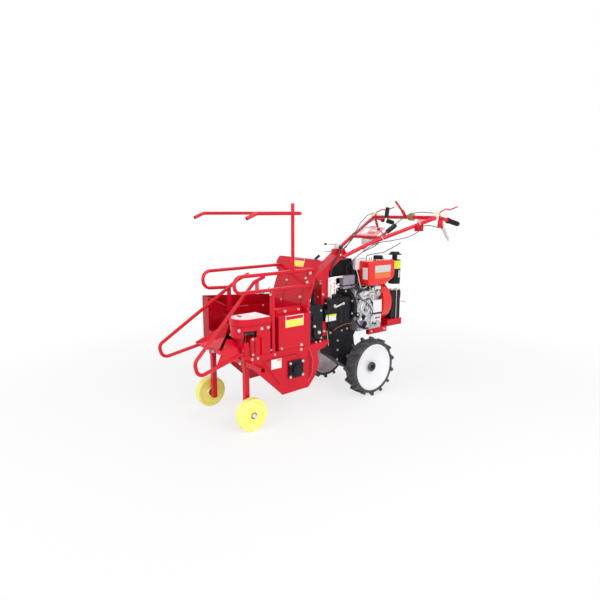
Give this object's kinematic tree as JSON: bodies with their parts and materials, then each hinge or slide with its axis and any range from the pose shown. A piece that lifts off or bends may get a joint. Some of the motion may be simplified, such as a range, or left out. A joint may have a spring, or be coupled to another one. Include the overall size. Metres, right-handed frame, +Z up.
{
  "type": "walk-behind single-row corn harvester",
  "caption": "Walk-behind corn harvester: a red row header with stalk chopper on small front wheels, driven by a two-wheel walking tractor with turned-round handlebars.",
  "frame": {"origin": "on the ground under the middle of the bounding box", "axes": "-Y is the driving direction, +X the left side, +Z up"},
  "size_m": [0.77, 2.222, 1.3732],
  "materials": {
    "bare_steel": "bare steel",
    "black_paint": "satin black paint",
    "black_plastic": "black",
    "black_rubber": "matt rubber",
    "cast_alloy": "as cast",
    "grey_plastic": "grey",
    "red_paint": "gloss red paint",
    "tank_paint": "gloss orange-red paint",
    "tyre_rubber": "black rubber",
    "white_paint": "white paint",
    "yellow_nylon": "moulded yellow nylon"
  },
  "bodies": {
    "frame": {"air_cleaner": "black_plastic", "battery": "black_plastic", "bearing_cover_left": "black_paint", "bearing_cover_right": "black_paint", "belt_cover": "red_paint", "chain_case": "black_paint", "chopper_housing": "red_paint", "clutch_cable_left": "black_rubber", "clutch_cable_right": "black_rubber", "control_box": "grey_plastic", "corner_post": "red_paint", "deflector_panel": "red_paint", "drum_cover": "red_paint", "ear_box": "red_paint", "engine": "cast_alloy", "engine_rails": "red_paint", "flywheel_shroud": "tank_paint", "front_beam": "red_paint", "front_leg_left": "red_paint", "front_leg_right": "red_paint", "fuel_cap": "black_plastic", "fuel_tank": "tank_paint", "gather_tube_left": "red_paint", "gather_tube_right": "red_paint", "gathering_casing": "red_paint", "gathering_chain": "bare_steel", "gear_grip": "black_rubber", "gearbox_case": "black_paint", "grip_left": "black_rubber", "grip_right": "black_rubber", "guard_left": "red_paint", "guard_right": "red_paint", "handlebar": "red_paint", "handlebar_column": "red_paint", "header_gearbox": "black_paint", "headlamp": "grey_plastic", "hitch_frame": "red_paint", "muffler": "black_paint", "roll_bearing_front": "red_paint", "roll_bearing_rear": "red_paint", "shift_linkage": "bare_steel", "snout_left": "red_paint", "snout_right": "red_paint", "stalk_fork": "red_paint", "steer_grip": "black_rubber", "throttle_cable": "black_rubber"},
    "front_wheel_left_body": {"front_wheel_left": "yellow_nylon"},
    "front_wheel_right_body": {"front_wheel_right": "yellow_nylon"},
    "drive_wheel_left_body": {"drive_tyre_left": "tyre_rubber", "drive_wheel_left": "white_paint"},
    "drive_wheel_right_body": {"drive_tyre_right": "tyre_rubber", "drive_wheel_right": "white_paint"},
    "chopper_rotor_body": {"chopper_rotor": "bare_steel"},
    "snapping_roll_left_body": {"snapping_roll_left": "bare_steel"},
    "snapping_roll_right_body": {"snapping_roll_right": "bare_steel"}
  },
  "joints": [
    {"name": "front_wheel_left_spin", "type": "hinge", "parent": "frame", "child": "front_wheel_left_body", "pos_m": [0.256, -0.755, 0.1], "axis": [1, 0, 0], "continuous": true},
    {"name": "front_wheel_right_spin", "type": "hinge", "parent": "frame", "child": "front_wheel_right_body", "pos_m": [-0.256, -0.755, 0.1], "axis": [1, 0, 0], "continuous": true},
    {"name": "drive_wheel_left_spin", "type": "hinge", "parent": "frame", "child": "drive_wheel_left_body", "pos_m": [0.2515, 0.246, 0.205], "axis": [1, 0, 0], "continuous": true},
    {"name": "drive_wheel_right_spin", "type": "hinge", "parent": "frame", "child": "drive_wheel_right_body", "pos_m": [-0.2515, 0.246, 0.205], "axis": [1, 0, 0], "continuous": true},
    {"name": "chopper_spin", "type": "hinge", "parent": "frame", "child": "chopper_rotor_body", "pos_m": [0, -0.384, 0.298], "axis": [1, 0, 0], "continuous": true},
    {"name": "snapping_roll_left_spin", "type": "hinge", "parent": "frame", "child": "snapping_roll_left_body", "pos_m": [0.037, -0.465, 0.545], "axis": [0, 1, 0], "continuous": true},
    {"name": "snapping_roll_right_spin", "type": "hinge", "parent": "frame", "child": "snapping_roll_right_body", "pos_m": [-0.037, -0.465, 0.545], "axis": [0, 1, 0], "continuous": true}
  ]
}
